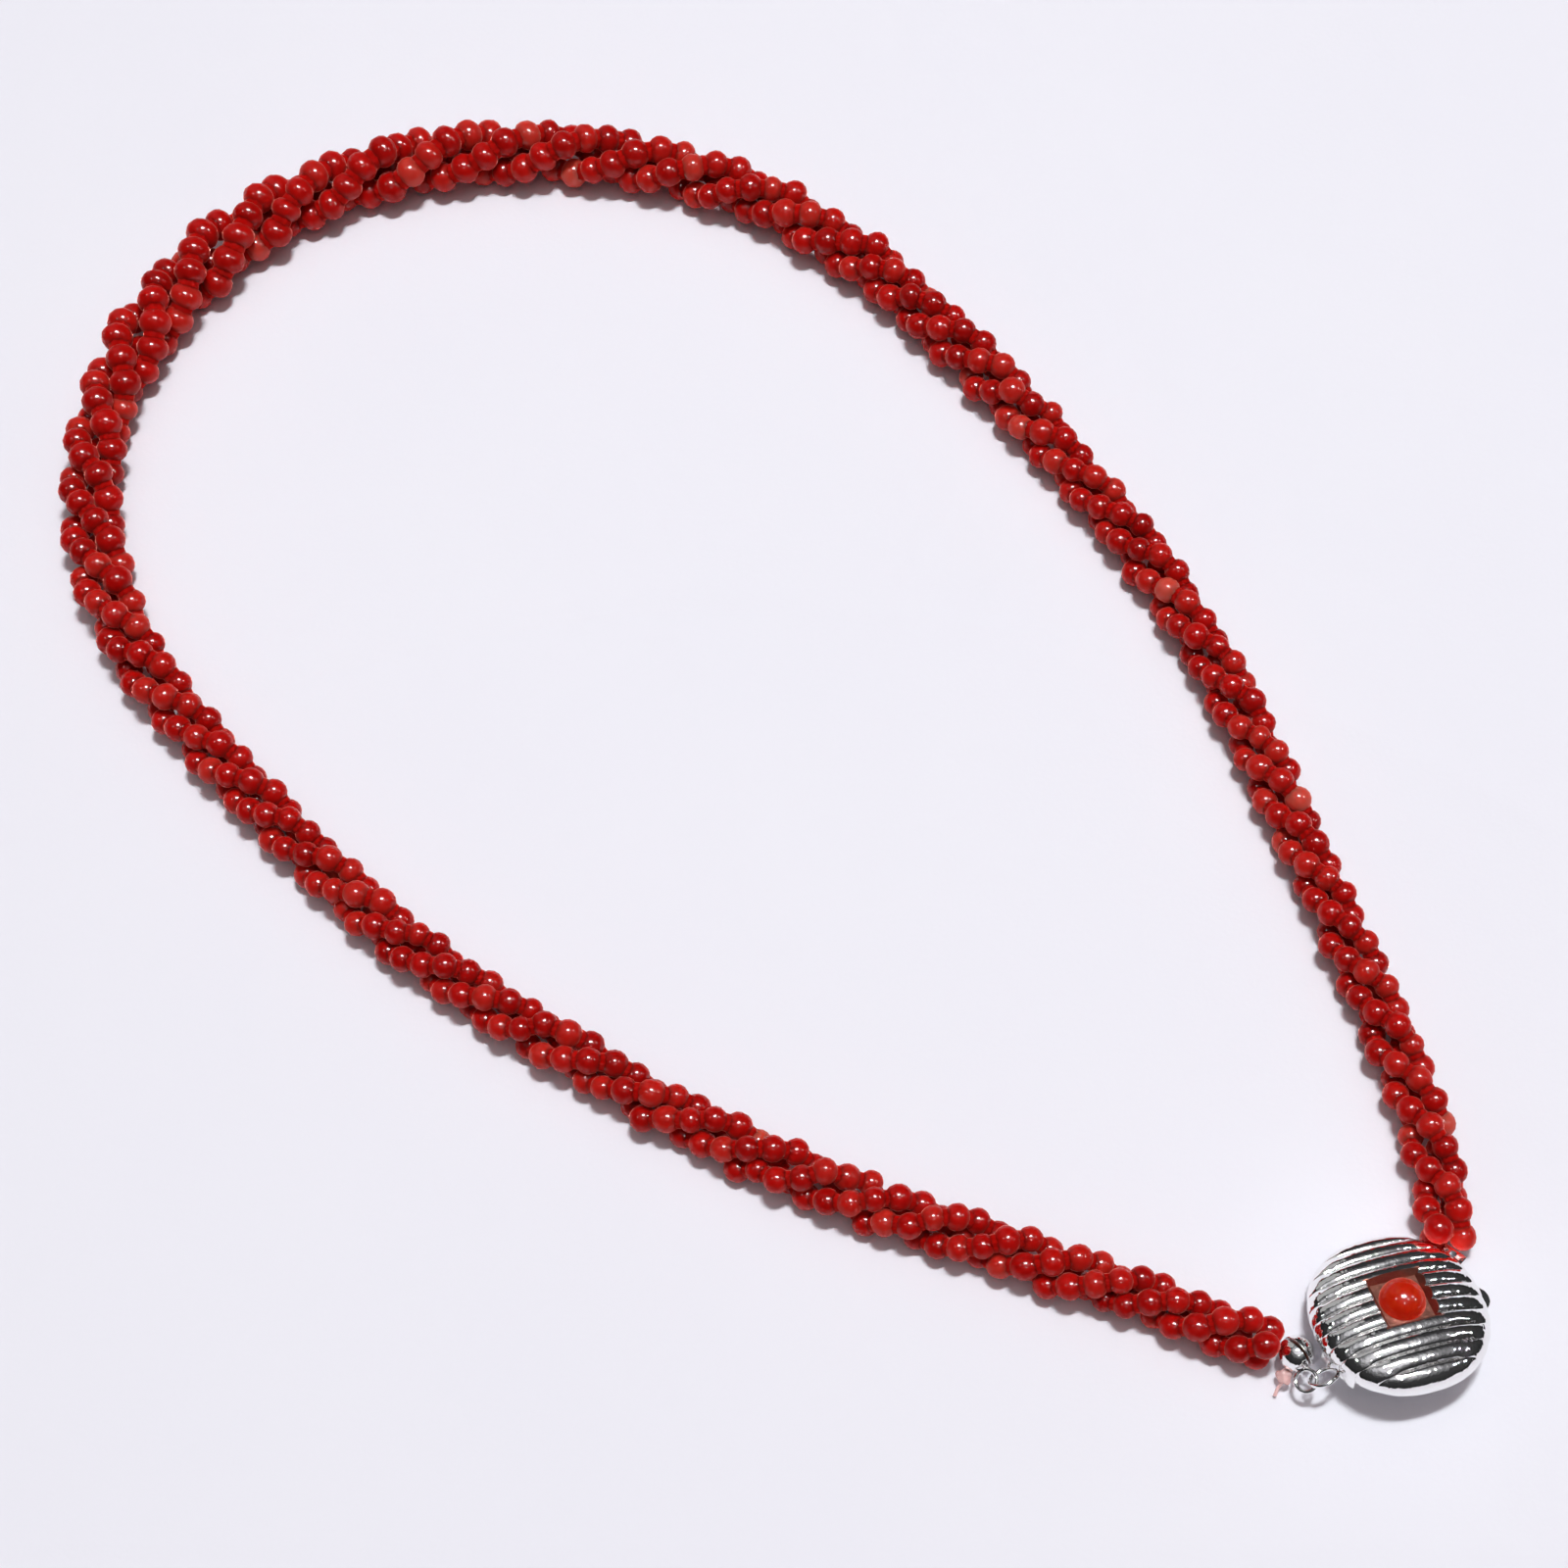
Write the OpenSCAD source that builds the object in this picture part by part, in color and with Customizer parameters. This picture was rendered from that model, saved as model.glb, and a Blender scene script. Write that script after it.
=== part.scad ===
// Rope necklace of three strands of small coral beads, twisted left-handed and closed
// by a round ribbed silver box clasp with a coral cabochon. It lies on a flat surface:
// +Z is up, the origin is under the middle of the whole outline.

/* [Bead rope] */
// Diameter of the smallest beads, at both ends of the rope
bead_small = 2.6; // [2:0.05:3]
// Diameter of the largest beads, opposite the clasp
bead_large = 3.6; // [3:0.05:4.5]
// Place of the largest beads, as a share of the rope's length
swell_place = 0.49; // [0.4:0.01:0.6]
// Tightness of the twist: below 1 the turns are shorter, above 1 longer
twist_scale = 1; // [0.8:0.01:1.2]

/* [Clasp] */
// Diameter of the clasp over its ribs
clasp_d = 16.8; // [15:0.1:20]
// Thickness of the clasp over its ribs
clasp_h = 6.6; // [6:0.1:8]
// Number of ribs across the clasp
rib_count = 11; // [9:2:13]
// Depth of the groove between two ribs
groove_depth = 0.45; // [0.2:0.05:0.6]
// Side of the square window over the cabochon, where it meets the ribs
window_w = 5.7; // [5:0.1:6.5]
// Diameter of the cabochon
cabochon_d = 4.4; // [3.5:0.1:4.8]

/* [Clasp position] */
// Lean of the clasp, its near edge lifted
clasp_lean = 17; // [0:1:20]
// Direction of the clasp's long axis in plan, from its tongue to its lug
clasp_turn = 40; // [35:1:50]
// Direction of the ribs in plan
rib_turn = 16; // [0:1:30]

/* [Findings] */
// Diameter of the folding bead tip on the rope's end
tip_d = 3.5; // [3.2:0.1:4.2]
// Diameter of the wire of both loops
loop_wire = 0.42; // [0.3:0.02:0.6]

/* [Hidden] */
$fn = 64;

// The rope lies along a uniform cubic B-spline through these guide points
route = [
    [73, -81], [53, -68], [30, -60], [8, -52.5], [-13, -40.5],
    [-33, -27.5], [-49.5, -10], [-65.5, 8], [-71.5, 31], [-62.5, 54.5],
    [-44, 68.5], [-19, 72.5], [4, 66], [22, 50], [36, 31],
    [49.5, 11], [57, -11], [65, -33], [72.5, -58], [61, -84]
];
route_spans = len(route) - 3;
route_first = 0.03;

// Moves everything so that the origin is under the middle of the outline
frame_shift = [-0.191, -0.287, 0];

// The swell of the bead sizes is steeper on the side of the bead tip
swell_rise = 0.09;
swell_fall = 0.13;

// Length of one turn of the twist, at eleven even places from the first end to the last
turn_lengths = [15.5, 19, 18, 18, 19.5, 24, 23, 16, 18.5, 16.5, 17.6];

// Each strand is a tube wound round the rope's middle, both radii in bead diameters
strand_count = 3;
wind_r = 0.64;
strand_r = 0.47;
strand_sides = 8;
rings_per_turn = 9;
ring_step = 360 / rings_per_turn;
first_phase = -34;
rest_drop = 0.11;

clasp_x = 63.9;
clasp_y = -65.7;
clasp_z = 4.15;
clasp_r = clasp_d / 2;
dome_h = clasp_h / 2;
dome_power = 2.2;
rib_pitch = clasp_d / rib_count;
rib_samples = 6;
slice_points = 28;
band_r = clasp_r - 0.3;
band_h = 0.9;
window_floor = dome_h - 0.9;
window_floor_w = window_w - 1.1;
window_rise = 1.2;
window_top_w = window_w + 0.6;

gap = 0.12;
mouth_x = -7;
mouth_w = 4.2;
mouth_top = -0.7;
mouth_bottom = -2.3;
mouth_y = 0.1;
plate_t = 0.9;
blade_w = 3.6;
blade_t = 0.8;
blade_len = 4.5;
blade_z = -1.7;
tongue_loop_r = 1.4;
tongue_loop_x = mouth_x - gap - plate_t - tongue_loop_r + loop_wire / 4;
tongue_loop_y = 0.5;
tongue_loop_z = -1.9;
tongue_loop_tilt = -40;

lug_len = 1.1;
lug_root = 1.2;
lug_w = 2.4;
lug_turn = 7;
lug_t = 0.9;
lug_hole_d = 0.7;
catch_turn = -27;
catch_r = 1.5;

cabochon_h = 2.1;

tip_pos = [54.3, -69, 2.75];
tip_loop_pos = [54.9, -71.7, 3.15];
tip_loop_r = 1.05;
tip_loop_tilt = 30;
tip_wall = 0.3;
tip_slit = 0.36;
tip_slit_lean = 4;
tip_slit_turn = 27;

// Weights of the four guide points that shape one span of the B-spline
function weights(u) = [pow(1 - u, 3), 3 * u * u * u - 6 * u * u + 4,
    -3 * u * u * u + 3 * u * u + 3 * u + 1, u * u * u] / 6;
function slopes(u) = [-pow(1 - u, 2), 3 * u * u - 4 * u, -3 * u * u + 2 * u + 1, u * u] / 2;
function span(t) = min(floor(t), route_spans - 1);
function blend(w, i) = w[0] * route[i] + w[1] * route[i + 1] + w[2] * route[i + 2] + w[3] * route[i + 3];
function route_at(t) = blend(weights(t - span(t)), span(t));
function slope_at(t) = blend(slopes(t - span(t)), span(t));

// Bead diameter at a place on the route
function swell(q) = exp(-pow((q - swell_place) / (q < swell_place ? swell_rise : swell_fall), 2) / 2);
function bead_d(t) = bead_small + (bead_large - bead_small) * swell(t / route_spans);

// Places of the rings, an equal step of the twist apart
last_turn = len(turn_lengths) - 1;
turn_table = [for (i = [0 : last_turn]) [i / last_turn, turn_lengths[i]]];
function turn_length(t) = twist_scale * lookup(t / route_spans, turn_table);
function next_ring(t) = t + turn_length(t) / rings_per_turn / norm(slope_at(t));
rings = [for (t = route_first; t <= route_spans; t = next_ring(t)) t];

// Middle of a strand at a ring, and the section drawn round it. No ring stands quite
// at the bottom of a turn, so the whole rope is let down until its lowest ones rest.
function outward(t, phase) =
    let (s = slope_at(t) / norm(slope_at(t)))
    [-s[1] * cos(phase), s[0] * cos(phase), sin(phase)];
function middle(t, phase) =
    let (c = route_at(t), d = bead_d(t))
    frame_shift + [c[0], c[1], (wind_r + strand_r) * d - rest_drop] + wind_r * d * outward(t, phase);
function unit(v) = v / norm(v);
function section(m, heading, out, r) =
    let (side = cross(unit(heading), out))
    [for (a = [0 : strand_sides - 1])
        let (w = 360 * a / strand_sides)
        m + r * (cos(w) * out + sin(w) * side)];

module strand(number, shade) {
    phases = [for (i = [0 : len(rings) - 1]) first_phase + 360 * number / strand_count - i * ring_step];
    middles = [for (i = [0 : len(rings) - 1]) middle(rings[i], phases[i])];
    last = len(rings) - 1;
    points = [for (i = [0 : last])
        let (heading = middles[min(i + 1, last)] - middles[max(i - 1, 0)])
        let (raw = outward(rings[i], phases[i]))
        let (out = unit(raw - (raw * unit(heading)) * unit(heading)))
        each section(middles[i], heading, out, strand_r * bead_d(rings[i]))];
    color(shade)
        polyhedron(points, loft_faces(len(rings), strand_sides), convexity = 20);
}

// Faces of a body whose sections are rings of n points, closed at both ends
function loft_faces(ring_total, n) = [
    for (i = [0 : ring_total - 2], j = [0 : n - 1])
        let (a = i * n + j, b = i * n + (j + 1) % n)
        each [[a, a + n, b], [b, a + n, b + n]],
    [for (j = [0 : n - 1]) j],
    [for (j = [n - 1 : -1 : 0]) (ring_total - 1) * n + j]
];

// The clasp's own frame: its long axis along X, its face up
module in_clasp() {
    translate(frame_shift + [clasp_x, clasp_y, clasp_z])
        rotate([-clasp_lean, 0, 0])
        rotate([0, 0, clasp_turn])
        children();
}

// Lens cut into slices across the ribs, each slice one closed outline
function taper(v) = pow(max(0, 1 - pow(abs(v) / clasp_r, dome_power)), 1 / dome_power);
function groove(x) = groove_depth * (1 - sqrt(max(0, 1 - 4 * x * x)));
function rib_place(v) = v / rib_pitch - round(v / rib_pitch);
function signed_power(c) = sign(c) * pow(abs(c), 2 / dome_power);
function slice(v) =
    let (cut = groove(rib_place(v)))
    let (wide = max(0.3, clasp_r * taper(v) - cut), high = max(0.15, dome_h * taper(v) - cut))
    [for (a = [0 : slice_points - 1])
        let (w = -360 * a / slice_points)
        [wide * signed_power(cos(w)), v, high * signed_power(sin(w))]];

module ribbed_lens() {
    steps = rib_count * rib_samples;
    edge = clasp_r - 0.06;
    places = [for (i = [0 : steps]) min(edge, max(-edge, clasp_d * (i / steps - 0.5)))];
    points = [for (v = places) each slice(v)];
    polyhedron(points, loft_faces(steps + 1, slice_points), convexity = 12);
}

module mouth_notch() {
    far = clasp_r + 1;
    translate([-far, mouth_y - mouth_w / 2 - gap, mouth_bottom - 1.5])
        cube([far + mouth_x, mouth_w + 2 * gap, mouth_top + gap - mouth_bottom + 1.5]);
}

module tongue_slot() {
    translate([mouth_x - 1, -blade_w / 2 - gap, blade_z - blade_t / 2 - gap])
        cube([blade_len + 1 + 2 * gap, blade_w + 2 * gap, blade_t + 2 * gap]);
}

// Square window whose four walls slope down to the stone
module window() {
    rotate([0, 0, rib_turn - clasp_turn + 45])
        translate([0, 0, window_floor])
        cylinder(h = window_rise, d1 = window_floor_w * sqrt(2), d2 = window_top_w * sqrt(2), $fn = 4);
}

// Rounded catch that shows beyond the ribs on one side
module rim_catch() {
    rotate([0, 0, catch_turn])
        translate([clasp_r - 0.7, 0, -band_h / 2 - 0.2])
        cylinder(r = catch_r, h = band_h);
}

module lug() {
    rotate([0, 0, lug_turn])
        difference() {
            translate([clasp_r - lug_root, -lug_w / 2, -lug_t / 2])
                cube([lug_root + lug_len, lug_w, lug_t]);
            translate([clasp_r + lug_len / 2, 0, 0])
                cylinder(d = lug_hole_d, h = 2 * lug_t, center = true);
        }
}

module clasp_body() {
    color("silver")
        in_clasp()
        difference() {
            union() {
                rotate([0, 0, rib_turn - clasp_turn])
                    ribbed_lens();
                cylinder(r = band_r, h = band_h, center = true);
                lug();
                rim_catch();
            }
            window();
            mouth_notch();
            tongue_slot();
        }
}

module clasp_tongue() {
    color("silver")
        in_clasp()
        union() {
            translate([mouth_x - gap - plate_t, mouth_y - mouth_w / 2, mouth_bottom])
                cube([plate_t, mouth_w, mouth_top - mouth_bottom]);
            translate([mouth_x - gap - 0.1, -blade_w / 2, blade_z - blade_t / 2])
                cube([blade_len, blade_w, blade_t]);
            translate([tongue_loop_x, tongue_loop_y, tongue_loop_z])
                rotate([tongue_loop_tilt, 0, 0])
                wire_loop(tongue_loop_r);
        }
}

module wire_loop(r) {
    rotate_extrude()
        translate([r, 0])
        circle(d = loop_wire, $fn = 24);
}

module cabochon() {
    base_r = cabochon_d / 2;
    ball_r = (base_r * base_r + cabochon_h * cabochon_h) / (2 * cabochon_h);
    color("firebrick")
        in_clasp()
        translate([0, 0, window_floor + 0.02])
        intersection() {
            translate([0, 0, cabochon_h - ball_r])
                sphere(r = ball_r);
            cylinder(r = base_r + 1, h = cabochon_h + 1);
        }
}

// Folding bead tip: a hollow ball of two cups with a slit between them
module bead_tip() {
    arm = tip_loop_pos - tip_pos;
    aim = atan2(arm[1], arm[0]);
    color("silver")
        union() {
            translate(frame_shift + tip_pos)
                rotate([0, 0, aim + tip_slit_turn])
                rotate([-tip_slit_lean, 0, 0])
                difference() {
                    sphere(d = tip_d);
                    sphere(d = tip_d - 2 * tip_wall);
                    translate([-tip_d, -tip_slit / 2, -tip_d / 4])
                        cube([tip_d * 1.5, tip_slit, tip_d]);
                }
            translate(frame_shift + tip_loop_pos)
                rotate([0, 0, aim])
                rotate([tip_loop_tilt, 0, 0])
                wire_loop(tip_loop_r);
        }
}

strand(0, "firebrick");  // strand_1
strand(1, "indianred");  // strand_2
strand(2, "brown");  // strand_3
clasp_body();
clasp_tongue();
cabochon();
bead_tip();
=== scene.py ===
"""Looks of a coral bead rope necklace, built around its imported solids.

Three strands of small polished coral beads are twisted into one rope. A round
ribbed silver box clasp with a coral cabochon closes it: at one end through a
folding bead tip, at the other through a soldered lug.

Sizes in the classes are millimetres, as in the part's source. Meshes are in
metres. The row has one body, so every piece rides on "root".
"""

import logging
import math
from dataclasses import dataclass, field
from enum import Enum

import bmesh
import bpy
import numpy as np
from bpy.types import ID, Material, Node, NodeSocket, NodeTree, Object
from mathutils import Matrix, Vector


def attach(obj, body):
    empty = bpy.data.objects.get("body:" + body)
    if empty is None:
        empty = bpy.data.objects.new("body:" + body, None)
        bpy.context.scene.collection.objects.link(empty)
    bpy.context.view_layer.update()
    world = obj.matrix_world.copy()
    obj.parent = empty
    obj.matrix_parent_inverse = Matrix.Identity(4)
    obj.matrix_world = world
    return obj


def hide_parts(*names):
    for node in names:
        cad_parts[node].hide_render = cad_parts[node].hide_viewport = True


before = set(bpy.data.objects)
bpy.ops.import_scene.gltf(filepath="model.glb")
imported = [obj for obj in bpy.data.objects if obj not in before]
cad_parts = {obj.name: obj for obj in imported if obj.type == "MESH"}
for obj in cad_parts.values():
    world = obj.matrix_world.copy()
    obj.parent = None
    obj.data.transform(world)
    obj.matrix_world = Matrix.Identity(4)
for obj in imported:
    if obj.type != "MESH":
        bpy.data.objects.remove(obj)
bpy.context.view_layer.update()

MM = 0.001
SHIFT = (-0.191, -0.287)
BODY = "root"
TO_METRES = Matrix.Scale(MM, 4)
WELD = 1e-7
log = logging.getLogger("necklace")

Colour = tuple[float, float, float]
Place = tuple[float, float, float]
Pair = tuple[float, float]


# Mesh helpers


class Way(Enum):
    """What one solid does to another."""

    ADD = "UNION"
    CUT = "DIFFERENCE"


def rotation(degrees: float, axis: str = "Z") -> Matrix:
    """Turn about an axis through the origin."""
    return Matrix.Rotation(math.radians(degrees), 4, axis)


def circle(steps: int) -> np.ndarray:
    """Angles of evenly spaced points round a circle."""
    return np.linspace(0, 2 * math.pi, steps, endpoint=False)


def put(name: str, data: ID) -> Object:
    """Makes an object and links it to the scene.

    Args:
        name: The object's name.
        data: Its mesh, light or camera.

    Returns:
        The new object.
    """
    made = bpy.data.objects.new(name, data)
    bpy.context.scene.collection.objects.link(made)
    return made


def mesh_object(name: str, points: np.ndarray, faces: list, edges: list | None = None) -> Object:
    """Makes a smooth mesh object at the origin.

    Args:
        name: The object's name.
        points: Vertex positions, one row each.
        faces: Vertex numbers of each face.
        edges: Vertex numbers of each edge, for a mesh without faces.

    Returns:
        The new object, linked to the scene.
    """
    mesh = bpy.data.meshes.new(name)
    mesh.from_pydata([tuple(p) for p in points], edges or [], faces)
    mesh.update()
    mesh.shade_smooth()
    return put(name, mesh)


def bmesh_object(name: str, shape: bmesh.types.BMesh) -> Object:
    """Turns an editable mesh into an object and frees it.

    Args:
        name: The object's name.
        shape: The editable mesh.

    Returns:
        The new object, linked to the scene.
    """
    mesh = bpy.data.meshes.new(name)
    shape.to_mesh(mesh)
    shape.free()
    return put(name, mesh)


def box_object(name: str, low: Place, high: Place, turn: float = 0.0) -> Object:
    """Makes a box.

    Args:
        name: The object's name.
        low: Its lowest corner.
        high: Its highest corner.
        turn: Degrees about Z, after it is placed.

    Returns:
        The box as an object, with its place in its mesh.
    """
    shape = bmesh.new()
    bmesh.ops.create_cube(shape, size=1.0)
    size = Vector(high) - Vector(low)
    middle = (Vector(high) + Vector(low)) / 2
    place = rotation(turn) @ Matrix.Translation(middle) @ Matrix.Diagonal((*size, 1))
    bmesh.ops.transform(shape, matrix=place, verts=shape.verts)
    return bmesh_object(name, shape)


def round_object(name: str, radii: Pair, height: float, place: Matrix, sides: int) -> Object:
    """Makes an upright round or many-sided block about its own middle.

    Args:
        name: The object's name.
        radii: Its radius at the foot and at the top.
        height: Its height.
        place: The matrix that moves it.
        sides: How many sides it has.

    Returns:
        The block as an object, with its place in its mesh.
    """
    shape = bmesh.new()
    sizes = {"segments": sides, "radius1": radii[0], "radius2": radii[1], "depth": height}
    bmesh.ops.create_cone(shape, cap_ends=True, matrix=place, **sizes)
    return bmesh_object(name, shape)


def loft(sections: np.ndarray, closed: bool = False) -> tuple[np.ndarray, list]:
    """Joins rings of points into one closed skin.

    Args:
        sections: Array of rings, points and coordinates.
        closed: Whether the last ring joins the first instead of being capped.

    Returns:
        The points and the faces.
    """
    rings, sides = sections.shape[:2]
    faces = []
    for i in range(rings if closed else rings - 1):
        for j in range(sides):
            a, b = i * sides + j, i * sides + (j + 1) % sides
            c, d = (a + sides) % (rings * sides), (b + sides) % (rings * sides)
            faces.append((a, c, d, b))
    if not closed:
        faces.append(tuple(range(sides)))
        faces.append(tuple((rings - 1) * sides + j for j in reversed(range(sides))))
    return sections.reshape(-1, 3), faces


def turned_sections(reach: np.ndarray, rise: np.ndarray, around: int) -> np.ndarray:
    """Sections of a turned form, level rings about Z.

    Args:
        reach: Distance of each ring from the axis.
        rise: Height of each ring.
        around: Points in a ring.

    Returns:
        The sections, for an open loft.
    """
    turn = circle(around)
    level = np.broadcast_to(rise[:, None], (len(reach), around))
    return np.stack([reach[:, None] * np.cos(turn), reach[:, None] * np.sin(turn), level], axis=2)


def wire_ring(radius: float, wire: float, steps: tuple[int, int], place: Matrix) -> Object:
    """Makes a closed ring of round wire.

    Args:
        radius: From its middle to the wire's middle.
        wire: The wire's thickness.
        steps: Steps round the ring and round the wire.
        place: The matrix that moves it from about Z.

    Returns:
        The ring as an object, with its place in its mesh.
    """
    turn, section = (circle(number) for number in steps)
    reach = radius + wire / 2 * np.cos(section)
    height = np.broadcast_to(wire / 2 * np.sin(section), steps)
    rings = np.stack([np.cos(turn)[:, None] * reach, np.sin(turn)[:, None] * reach, height], axis=2)
    ring = mesh_object("ring", *loft(rings, closed=True))
    ring.data.transform(place)
    outward(ring)
    return ring


def settle(piece: Object) -> None:
    """Turns what a piece's modifiers make into its plain mesh.

    Args:
        piece: The piece, which loses its modifiers.
    """
    view = bpy.context.evaluated_depsgraph_get()
    view.update()
    made = bpy.data.meshes.new_from_object(
        piece.evaluated_get(view), preserve_all_data_layers=True, depsgraph=view
    )
    made.name = piece.name
    piece.modifiers.clear()
    piece.data = made


def combine(target: Object, other: Object, way: Way) -> None:
    """Adds another solid to the target or cuts it out of it.

    Args:
        target: The solid that stays.
        other: The solid that is used up.
        way: What the other does to the target.
    """
    tool = target.modifiers.new("combine", "BOOLEAN")
    tool.operation = way.value
    tool.solver = "EXACT"
    tool.object = other
    settle(target)
    bpy.data.objects.remove(other)


def soften(piece: Object, width: float, segments: int) -> None:
    """Rounds a piece's sharp edges.

    Args:
        piece: The piece.
        width: How far from the edge the rounding starts.
        segments: Steps in the rounding.
    """
    tool = piece.modifiers.new("edge", "BEVEL")
    tool.width = width
    tool.segments = segments
    settle(piece)


def outward(piece: Object) -> None:
    """Merges doubled points and turns every face outwards.

    Args:
        piece: The piece.
    """
    shape = bmesh.new()
    shape.from_mesh(piece.data)
    bmesh.ops.remove_doubles(shape, verts=shape.verts, dist=WELD)
    bmesh.ops.recalc_face_normals(shape, faces=shape.faces)
    shape.to_mesh(piece.data)
    shape.free()


def merge(name: str, parts: list[Object]) -> Object:
    """Joins separate meshes into one object without cutting them.

    Args:
        name: The object's name.
        parts: The objects, which are used up.

    Returns:
        The new object, linked to the scene.
    """
    shape = bmesh.new()
    for part in parts:
        shape.from_mesh(part.data)
        bpy.data.objects.remove(part)
    return bmesh_object(name, shape)


def smooth(piece: Object, sharp: float) -> None:
    """Shades a piece smooth, but for edges that turn by more than some degrees."""
    piece.data.shade_smooth()
    piece.data.set_sharp_from_angle(angle=math.radians(sharp))


def finish_piece(
    piece: Object, material: Material, node: str | None = None
) -> None:
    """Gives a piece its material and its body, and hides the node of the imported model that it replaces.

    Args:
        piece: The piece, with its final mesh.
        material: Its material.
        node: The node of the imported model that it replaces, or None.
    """
    piece.data.materials.clear()
    piece.data.materials.append(material)
    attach(piece, BODY)
    if node:
        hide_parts(node)
    low = min(point.co.z for point in piece.data.vertices)
    log.info("%s: %d faces, lowest at %.2f mm", piece.name, len(piece.data.polygons), low / MM)


# Node trees


class Nodes:
    """Adds nodes to one tree and feeds their inputs."""

    def __init__(self, tree: NodeTree) -> None:
        """Empties the tree."""
        self.tree = tree
        tree.nodes.clear()

    def feed(self, end: NodeSocket, value: object) -> None:
        """Gives an input its value.

        Args:
            end: The input.
            value: A socket to link, a colour of three parts, or another constant.
        """
        if isinstance(value, NodeSocket):
            self.tree.links.new(value, end)
        elif end.type == "RGBA":
            end.default_value = (*value, 1)
        else:
            end.default_value = value

    def add(self, kind: str, settings: dict | None = None, *values: object, **named: object) -> Node:
        """Adds a node.

        Args:
            kind: The node's type.
            settings: Its properties.
            *values: What its first inputs take, in order.
            **named: What other inputs take, by name with _ for spaces.

        Returns:
            The node.
        """
        node = self.tree.nodes.new(kind)
        for key, value in (settings or {}).items():
            setattr(node, key, value)
        for place, value in enumerate(values):
            self.feed(node.inputs[place], value)
        for key, value in named.items():
            self.feed(node.inputs[key.replace("_", " ")], value)
        return node

    def sum(self, way: str, first: object, second: object = 0.0) -> NodeSocket:
        """Adds one step of arithmetic on sockets or numbers."""
        return self.add("ShaderNodeMath", {"operation": way}, first, second).outputs[0]

    def split(self, vector: NodeSocket) -> bpy.types.NodeOutputs:
        """Splits a vector into its X, Y and Z."""
        return self.add("ShaderNodeSeparateXYZ", {}, vector).outputs

    def ramp(self, value: NodeSocket, stops: tuple) -> NodeSocket:
        """Maps a value to colours.

        Args:
            value: The value, from 0 to 1.
            stops: Pairs of a place and its colour.

        Returns:
            The colour.
        """
        node = self.add("ShaderNodeValToRGB", {}, value)
        points = node.color_ramp.elements
        while len(points) < len(stops):
            points.new(0.5)
        for point, (place, colour) in zip(points, stops):
            point.position = place
            point.color = (*colour, 1)
        return node.outputs["Color"]

    def mix(self, share: object, first: object, second: object) -> NodeSocket:
        """Mixes two colours.

        Args:
            share: How much of the second is taken.
            first: A colour or a socket.
            second: A colour or a socket.

        Returns:
            The mixed colour.
        """
        node = self.add("ShaderNodeMix", {"data_type": "RGBA"}, share)
        # The node's colours are its inputs 6 and 7 and its output 2.
        self.feed(node.inputs[6], first)
        self.feed(node.inputs[7], second)
        return node.outputs[2]

    def spread(
        self, value: NodeSocket, goal: Pair, source: Pair = (0.0, 1.0), eased: bool = False
    ) -> NodeSocket:
        """Maps one range onto another.

        Args:
            value: The value.
            goal: The range that comes out.
            source: The range that goes in.
            eased: Whether the ends of the range are eased.

        Returns:
            The mapped value.
        """
        settings = {"interpolation_type": "SMOOTHSTEP" if eased else "LINEAR"}
        return self.add("ShaderNodeMapRange", settings, value, *source, *goal).outputs["Result"]


class Recipe(Nodes):
    """Nodes of one material round a Principled shader."""

    def __init__(self, name: str) -> None:
        """Starts an empty material with its shader.

        Args:
            name: The material's name.
        """
        self.material = bpy.data.materials.new(name)
        self.material.use_nodes = True
        super().__init__(self.material.node_tree)
        self.shader = self.add("ShaderNodeBsdfPrincipled")
        self.add("ShaderNodeOutputMaterial", Surface=self.shader.outputs["BSDF"])

    def fix(self, **values: object) -> None:
        """Feeds the shader's own sockets, with _ for spaces."""
        for key, value in values.items():
            self.feed(self.shader.inputs[key.replace("_", " ")], value)

    def noise(self, scale: float, detail: float = 3.0, roughness: float = 0.5) -> NodeSocket:
        """Adds noise on Object coordinates.

        Args:
            scale: Waves in a metre.
            detail: Finer layers of noise.
            roughness: How strong the finer layers are.

        Returns:
            The noise, from 0 to 1.
        """
        where = self.add("ShaderNodeTexCoord").outputs["Object"]
        node = self.add("ShaderNodeTexNoise", Vector=where, Scale=scale, Detail=detail, Roughness=roughness)
        return node.outputs["Fac"]

    def attribute(self, name: str) -> NodeSocket:
        """Reads a number stored on the piece."""
        return self.add("ShaderNodeAttribute", {"attribute_name": name}).outputs["Fac"]

    def bump(self, height: NodeSocket, distance: float, strength: float) -> None:
        """Raises the surface by a height, in metres at full strength."""
        node = self.add("ShaderNodeBump", Height=height, Distance=distance, Strength=strength)
        self.fix(Normal=node.outputs["Normal"])


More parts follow.
